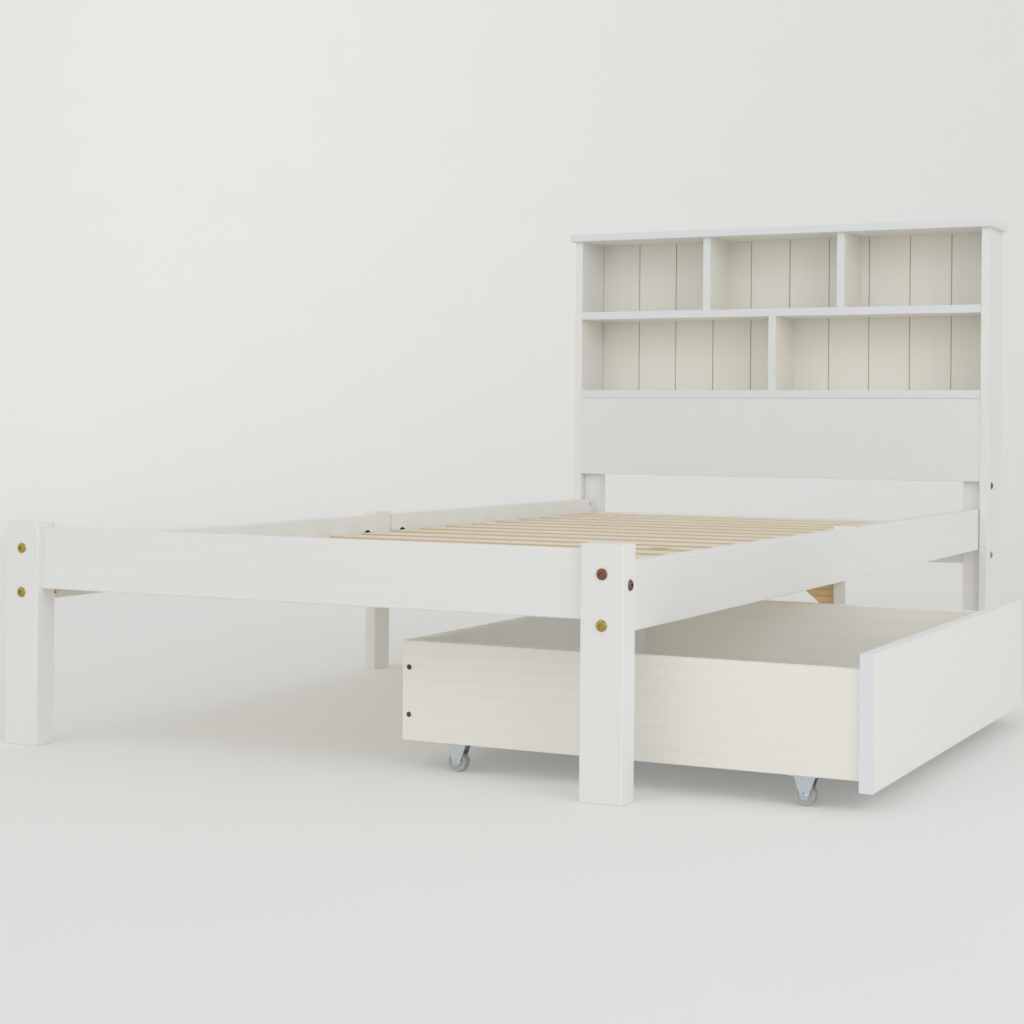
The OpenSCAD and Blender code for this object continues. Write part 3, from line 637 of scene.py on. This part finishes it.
dress(WHITE["z"], "foot_post_left", "foot_post_right", "mid_leg_left", "mid_leg_right")
dress(WHITE["z"], "headboard_side_left", "headboard_side_right")
dress(WHITE["z"], "headboard_post_left", "headboard_post_right")
dress(WHITE["x"], "foot_rail", "head_cross_rail")
dress(PLAIN_WHITE, "headboard_panel")
dress(WHITE_BANDED, "headboard_top")
dress(WHITE_END_BANDED, "drawer_front")
for half_rail in HALF_RAILS:
    dress(RAIL_PAINT[half_rail], half_rail)
dress(CREAM_GROOVED, "back_panel")
dress(CREAM_BANDED["x"], "shelf_middle", "shelf_lower")
dress(CREAM_BANDED["z"], "divider_upper_left", "divider_upper_right", "divider_lower")
dress(CREAM, "drawer_side_foot", "drawer_side_head")
dress(WHITE["x"], "drawer_base")
dress(WHITE["y"], "drawer_back")
dress(BEARER_PINE, "slat_bearers_left", "slat_bearers_right")
dress(SLAT_PINE, "mid_cross_beam")
dress(SLAT_PINE, *[name for name in NODES if name.startswith("slat_") and name[-2:].isdigit()])
dress(GOLDEN_PINE, "gussets")
dress(BRIGHT_ZINC, "frame_nuts", "slat_screws", "caster_brackets", "caster_axles")
dress(BRONZED, "drawer_screws")
dress(BEECH, "headboard_dowels")
print("dressed the boards")


# %% [markdown]
# ## Working with operators
#
# New pieces are made the way they are made by hand: add a primitive, go into edit mode,
# select some faces, run a tool. Tools act on whatever is selected, so every step starts by
# selecting nothing, and faces are picked in code by where they are and which way they look.


# %% Edit-mode helpers
def start_clean():
    """Leaves edit mode and selects nothing."""
    if bpy.context.object and bpy.context.object.mode != "OBJECT":
        bpy.ops.object.mode_set(mode="OBJECT")
    bpy.ops.object.select_all(action="DESELECT")


def pick_faces(piece, test):
    """Selects the faces for which test(centre, normal) holds, and stays in edit mode."""
    bpy.ops.object.mode_set(mode="EDIT")
    bpy.ops.mesh.select_mode(type="FACE")
    bpy.ops.object.mode_set(mode="OBJECT")
    for part in (piece.data.vertices, piece.data.edges, piece.data.polygons):
        part.foreach_set("select", [False] * len(part))
    for face in piece.data.polygons:
        face.select = test(face.center, face.normal)
    bpy.ops.object.mode_set(mode="EDIT")


def settle(piece):
    """Moves a finished piece's place into its mesh."""
    start_clean()
    piece.select_set(True)
    bpy.context.view_layer.objects.active = piece
    bpy.ops.object.transform_apply(location=True, rotation=True, scale=True)


def finish_with(piece, kind, name, **settings):
    """Adds one modifier and applies it."""
    start_clean()
    piece.select_set(True)
    bpy.context.view_layer.objects.active = piece
    modifier = piece.modifiers.new(name, kind)
    for key, value in settings.items():
        setattr(modifier, key, value)
    bpy.ops.object.modifier_apply(modifier=name)


def smooth(piece, angle=35):
    """Shades a piece smooth except across sharp edges."""
    start_clean()
    piece.select_set(True)
    bpy.context.view_layer.objects.active = piece
    bpy.ops.object.shade_smooth_by_angle(angle=math.radians(angle))


print("edit helpers ready")

# %% [markdown]
# ## Caster wheels
#
# A moulded wheel has a rounded tread, a raised rim, a sunk web and a raised hub with the
# axle's bore through it. It could be turned from a profile with Spin, but insets are quicker
# to read: start with a cylinder, and let each inset step the two end faces in and out. The
# hole is made by deleting the last inset on both ends and bridging the two rings.

# %% Model a wheel
WHEEL_SEGMENTS = 72
RIM = 0.0022
STEP = 0.0006
WEB_SINK = 0.0015
HUB_RADIUS = 0.0052
HUB_RISE = 0.7 * WEB_SINK
TREAD_ROUNDING = 0.0011


def model_wheel(name, low, high, bore):
    """A wheel that fills a box, with its axle along Y."""
    centre = (low + high) / 2
    radius = (high.z - low.z) / 2
    width = high.y - low.y
    start_clean()
    bpy.ops.mesh.primitive_cylinder_add(vertices=WHEEL_SEGMENTS, radius=radius, depth=width,
                                        location=centre, rotation=(math.pi / 2, 0, 0))
    wheel = bpy.context.object
    wheel.name = name
    pick_faces(wheel, lambda middle, normal: abs(normal.z) > 0.9)
    bpy.ops.mesh.inset(thickness=RIM)
    bpy.ops.mesh.inset(thickness=STEP, depth=-WEB_SINK)
    bpy.ops.mesh.inset(thickness=radius - RIM - 2 * STEP - HUB_RADIUS)
    bpy.ops.mesh.inset(thickness=STEP, depth=HUB_RISE)
    bpy.ops.mesh.inset(thickness=HUB_RADIUS - STEP - bore)
    bpy.ops.mesh.delete(type="ONLY_FACE")
    bpy.ops.mesh.select_mode(type="EDGE")
    bpy.ops.mesh.select_non_manifold()
    bpy.ops.mesh.bridge_edge_loops()
    bpy.ops.object.mode_set(mode="OBJECT")
    finish_with(wheel, "BEVEL", "rounding", width=TREAD_ROUNDING, segments=3,
                limit_method="ANGLE", angle_limit=math.radians(40))
    settle(wheel)
    smooth(wheel)
    return wheel


BORE_RADIUS = 0.00258  # a little wider than the axle
wheels = []
for number in range(1, 5):
    node = "caster_wheel_%d" % number
    wheel_low, wheel_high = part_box(node)
    wheel = model_wheel("moulded_wheel_%d" % number, wheel_low, wheel_high, BORE_RADIUS)
    wheel_middle = (wheel_low + wheel_high) / 2
    wheel.data.materials.append(wheel_plastic("wheel_plastic_%d" % number, wheel_middle,
                                              (wheel_high.z - wheel_low.z) / 2))
    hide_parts(node)
    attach(wheel, node)
    wheels.append(wheel)
print("wheels", len(wheels), "faces each", len(wheels[0].data.polygons))

# %% [markdown]
# ## Furniture bolts
#
# The bolts that pull the rails to the posts have a low domed head with a hexagon socket. The
# dome is three insets of the cylinder's end, each a little higher and flatter, and the
# socket is cut by a six-sided cylinder with a Boolean. One bolt is modelled for each length
# that is needed and then copied, so that all the heads are the same.

# %% Model one bolt
HEAD_RADIUS = 0.0075
HEAD_HEIGHT = 0.0032
SHANK_RADIUS = 0.003
SOCKET_RADIUS = 0.0029
SOCKET_DEPTH = 0.0022
HEAD_SKIRT = 0.35 * HEAD_HEIGHT
DOME_STEPS = ((0.0007, 0.30), (0.0010, 0.20), (0.0014, 0.15))  # inset, share of the height
TIP = 0.0008


def model_bolt(name, length):
    """A bolt along +Z: its head's seat is at z = 0."""
    start_clean()
    bpy.ops.mesh.primitive_cylinder_add(vertices=48, radius=HEAD_RADIUS, depth=HEAD_SKIRT,
                                        location=(0, 0, HEAD_SKIRT / 2))
    bolt = bpy.context.object
    bolt.name = name
    pick_faces(bolt, lambda middle, normal: normal.z > 0.9)
    for inward, share in DOME_STEPS:
        bpy.ops.mesh.inset(thickness=inward, depth=HEAD_HEIGHT * share)
    pick_faces(bolt, lambda middle, normal: normal.z < -0.9)
    bpy.ops.mesh.inset(thickness=HEAD_RADIUS - SHANK_RADIUS)
    bpy.ops.mesh.extrude_region_move(TRANSFORM_OT_translate={"value": (0, 0, TIP - length)})
    bpy.ops.mesh.inset(thickness=TIP, depth=TIP)
    bpy.ops.object.mode_set(mode="OBJECT")
    bpy.ops.object.select_all(action="DESELECT")
    bpy.ops.mesh.primitive_cylinder_add(vertices=6, radius=SOCKET_RADIUS, depth=SOCKET_DEPTH * 2,
                                        location=(0, 0, HEAD_HEIGHT))
    cutter = bpy.context.object
    finish_with(bolt, "BOOLEAN", "socket", operation="DIFFERENCE", object=cutter, solver="EXACT")
    bpy.data.objects.remove(cutter)
    finish_with(bolt, "BEVEL", "soft_rim", width=0.00025, segments=2, limit_method="ANGLE",
                angle_limit=math.radians(45))
    smooth(bolt, 40)
    return bolt


print("bolt head", HEAD_RADIUS * 2000, "mm across")

# %% [markdown]
# ## Where the bolts go
#
# Every bolt sits on the middle line of the board it pulls in, so its place follows from two
# boxes: the post it passes through and the rail it reaches. The right-hand list is mirrored
# in the bed's middle to give the left-hand one.

# %% Place the bolts
NUT_REACH = 0.0275  # from the rail's end to a bolt's tip
END_INSET = (0.0125, 0.0120)
LOW_BOLT_UP = 0.0202
HIGH_BOLT_DOWN = 0.0104
POST_REACH = 0.006  # past the middle of the headboard post


def bolt_places():
    """(seat of the head, direction it looks in, length) of each bolt on the right-hand side."""
    rail_x = (rail_low.x + rail_high.x) / 2
    foot_low, foot_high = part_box("foot_rail")
    head_rail_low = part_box("head_cross_rail")[0]
    panel_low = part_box("headboard_panel")[0]
    post_y = (head_post_low.y + head_post_high.y) / 2
    board = board_high.x - board_low.x
    head_post = head_post_high.y - head_post_low.y
    places = []
    foot_post = post_high.y - post_low.y
    for z in (rail_low.z + END_INSET[0], rail_high.z - END_INSET[1]):
        places.append((Vector((rail_x, post_low.y, z)), Vector((0, -1, 0)),
                       foot_post + NUT_REACH))
        places.append((Vector((rail_x, head_post_high.y, z)), Vector((0, 1, 0)),
                       head_post + NUT_REACH))
    middle = (foot_low + foot_high) / 2
    places.append((Vector((post_high.x, middle.y, middle.z)), Vector((1, 0, 0)),
                   post_high.x - post_low.x + NUT_REACH))
    low_seat = Vector((board_high.x, post_y, head_rail_low.z + LOW_BOLT_UP))
    places.append((low_seat, Vector((1, 0, 0)), board + head_post + NUT_REACH))
    high_seat = Vector((board_high.x, post_y, panel_low.z - HIGH_BOLT_DOWN))
    places.append((high_seat, Vector((1, 0, 0)),
                   board + head_post / 2 + POST_REACH))
    return places


def mirrored(place):
    """The same bolt on the other side of the bed."""
    seat, look, length = place
    return Vector((2 * bed_x - seat.x, seat.y, seat.z)), Vector((-look.x, look.y, look.z)), length


right_places = bolt_places()
all_places = right_places + [mirrored(place) for place in right_places]
patterns = {}
bolts = []
for seat, look, length in all_places:
    key = round(length, 4)
    if key not in patterns:
        patterns[key] = model_bolt("bolt_pattern_%d" % round(key * 10000), key)
    copy = patterns[key].copy()
    copy.data = patterns[key].data.copy()
    bpy.context.scene.collection.objects.link(copy)
    turn = look.to_track_quat("Z", "Y").to_matrix().to_4x4()
    copy.data.transform(Matrix.Translation(seat) @ turn)
    bolts.append(copy)
for pattern in patterns.values():
    bpy.data.objects.remove(pattern)
print("bolts", len(bolts))

# %% [markdown]
# ## Rods through the mid legs
#
# A threaded rod runs through each mid leg into the pockets of both half rails. It is the
# last of the long fasteners: a cylinder whose end edges are bevelled into a chamfer. All the
# bolts and rods are then joined into one piece, as they come in one bag with the bed.

# %% Model the rods and join the set
ROD_HALF = 0.067
ROD_CHAMFER = 0.0005


def model_rod(name, middle):
    """A rod along the bed, centred on middle."""
    start_clean()
    bpy.ops.mesh.primitive_cylinder_add(vertices=24, radius=SHANK_RADIUS, depth=ROD_HALF * 2,
                                        location=middle, rotation=(math.pi / 2, 0, 0))
    rod = bpy.context.object
    rod.name = name
    finish_with(rod, "BEVEL", "end_chamfer", width=ROD_CHAMFER, segments=1,
                limit_method="ANGLE", angle_limit=math.radians(60))
    settle(rod)
    smooth(rod)
    return rod


leg_middle = (leg_low + leg_high) / 2
rod_z = (rail_low.z + rail_high.z) / 2
rail_mid_x = (rail_low.x + rail_high.x) / 2
rods = [model_rod("mid_rod_right", Vector((rail_mid_x, leg_middle.y, rod_z))),
        model_rod("mid_rod_left", Vector((2 * bed_x - rail_mid_x, leg_middle.y, rod_z)))]
start_clean()
for fastener in bolts + rods:
    fastener.select_set(True)
bpy.context.view_layer.objects.active = bolts[0]
bpy.ops.object.join()
bolt_set = bpy.context.object
bolt_set.name = "bolt_set"
bolt_set.data.materials.clear()
bolt_set.data.materials.append(YELLOW_ZINC)
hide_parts("frame_bolts")
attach(bolt_set, "frame")
print("bolt set faces", len(bolt_set.data.polygons))

# %% [markdown]
# ## Studio
#
# The set is a sheet of pale paper that lies flat and then sweeps up behind the bed, so the
# camera sees no horizon. It starts as a plane; its far edge is extruded upwards and the fold
# between the two is bevelled with many segments into a curve. A faint glow of its own stands
# in for the light that a large white room would throw back.


# %% Paper sweep
PAPER_SIZE = (60.0, 40.0, 1.0)
PAPER_SHIFT = (0, -12.5, -0.0004)
PAPER_RISE = 9.0
PAPER_FOLD = 3.5
PAPER_GLOW = 0.12


def make_sweep():
    """A flat sheet whose far edge curves up into a wall."""
    start_clean()
    bpy.ops.mesh.primitive_plane_add(size=1.0, location=(0, 0, 0))
    sweep = bpy.context.object
    sweep.name = "paper_sweep"
    bpy.ops.object.mode_set(mode="EDIT")
    bpy.ops.mesh.select_all(action="SELECT")
    bpy.ops.transform.resize(value=PAPER_SIZE)
    bpy.ops.transform.translate(value=PAPER_SHIFT)
    bpy.ops.mesh.select_mode(type="EDGE")
    bpy.ops.object.mode_set(mode="OBJECT")
    for part in (sweep.data.vertices, sweep.data.edges, sweep.data.polygons):
        part.foreach_set("select", [False] * len(part))
    far = max(vertex.co.y for vertex in sweep.data.vertices)
    for edge in sweep.data.edges:
        edge.select = all(sweep.data.vertices[v].co.y > far - 0.01 for v in edge.vertices)
    bpy.ops.object.mode_set(mode="EDIT")
    bpy.ops.mesh.extrude_region_move(TRANSFORM_OT_translate={"value": (0, 0, PAPER_RISE)})
    bpy.ops.object.mode_set(mode="OBJECT")
    finish_with(sweep, "BEVEL", "fold", width=PAPER_FOLD, segments=40,
                limit_method="ANGLE", angle_limit=math.radians(30))
    smooth(sweep, 60)
    settle(sweep)
    return sweep


sweep = make_sweep()
paper, paper_tree, paper_shader = new_material("pale_paper")
paper_at = put(paper_tree, "ShaderNodeTexCoord").outputs["Object"]
paper_tooth = noise(paper_tree, paper_at, 3.0, 2.0)
paper_colour = blend_colour(paper_tree, paper_tooth,
                            linear(223, 223, 221), linear(225, 225, 223))
paper_tree.links.new(paper_colour, paper_shader.inputs["Base Color"])
paper_shader.inputs["Roughness"].default_value = 0.95
paper_shader.inputs["Specular IOR Level"].default_value = 0.1
paper_shader.inputs["Emission Color"].default_value = (1.0, 1.0, 0.99, 1.0)
paper_shader.inputs["Emission Strength"].default_value = PAPER_GLOW
sweep.data.materials.append(paper)
print("paper sweep", len(sweep.data.polygons), "faces")

# %% [markdown]
# ## Light
#
# White furniture on white paper is drawn by its shadows, so the light has to be large and
# soft but still have a direction. A big key above the foot end leaves a soft shadow under
# each shelf and under the bed, a wide fill on the drawer's side lights the long rail, a third
# box washes the paper behind the headboard, and the world fills in the rest.


# %% Soft boxes and world
def soft_box(name, place, aim_at, size, power, tint=(1.0, 1.0, 1.0)):
    """A square area light that looks at a point."""
    data = bpy.data.lights.new(name, "AREA")
    data.shape = "SQUARE"
    data.size = size
    data.energy = power
    data.color = tint
    light = bpy.data.objects.new(name, data)
    bpy.context.scene.collection.objects.link(light)
    look = (Vector(aim_at) - Vector(place)).to_track_quat("-Z", "Y")
    light.matrix_world = Matrix.Translation(Vector(place)) @ look.to_matrix().to_4x4()
    return light


WORLD_LOW = 1.00  # strength at the horizon
WORLD_HIGH = 0.55  # strength overhead


def make_world():
    """Brighter near the horizon than overhead, like a room with pale walls."""
    world = bpy.data.worlds.new("studio_world")
    bpy.context.scene.world = world
    world.use_nodes = True
    tree = world.node_tree
    around = put(tree, "ShaderNodeTexCoord").outputs["Generated"]
    split = put(tree, "ShaderNodeSeparateXYZ", {0: around})
    level = put(tree, "ShaderNodeMapRange", {
        "Value": split.outputs["Z"], "From Min": 0.0, "From Max": 1.0,
        "To Min": WORLD_LOW, "To Max": WORLD_HIGH})
    background = tree.nodes["Background"]
    background.inputs["Color"].default_value = (1.0, 1.0, 0.995, 1.0)
    tree.links.new(level.outputs["Result"], background.inputs["Strength"])
    return world


make_world()
bed_middle = (bed_x, 0.0, 0.35)
lights = [
    soft_box("key_box", (bed_x - 1.2, -3.4, 3.6), bed_middle, size=2.6, power=13.0),
    soft_box("side_box", (bed_x + 3.9, -2.3, 2.2), bed_middle, size=2.6, power=34.0,
             tint=(0.95, 0.97, 1.0)),
    soft_box("wall_box", (bed_x - 6.4, 2.8, 4.2), (bed_x - 6.4, 7.4, 1.6), size=3.6, power=40.0),
]
print("lights", [light.name for light in lights], "world", WORLD_LOW, WORLD_HIGH)
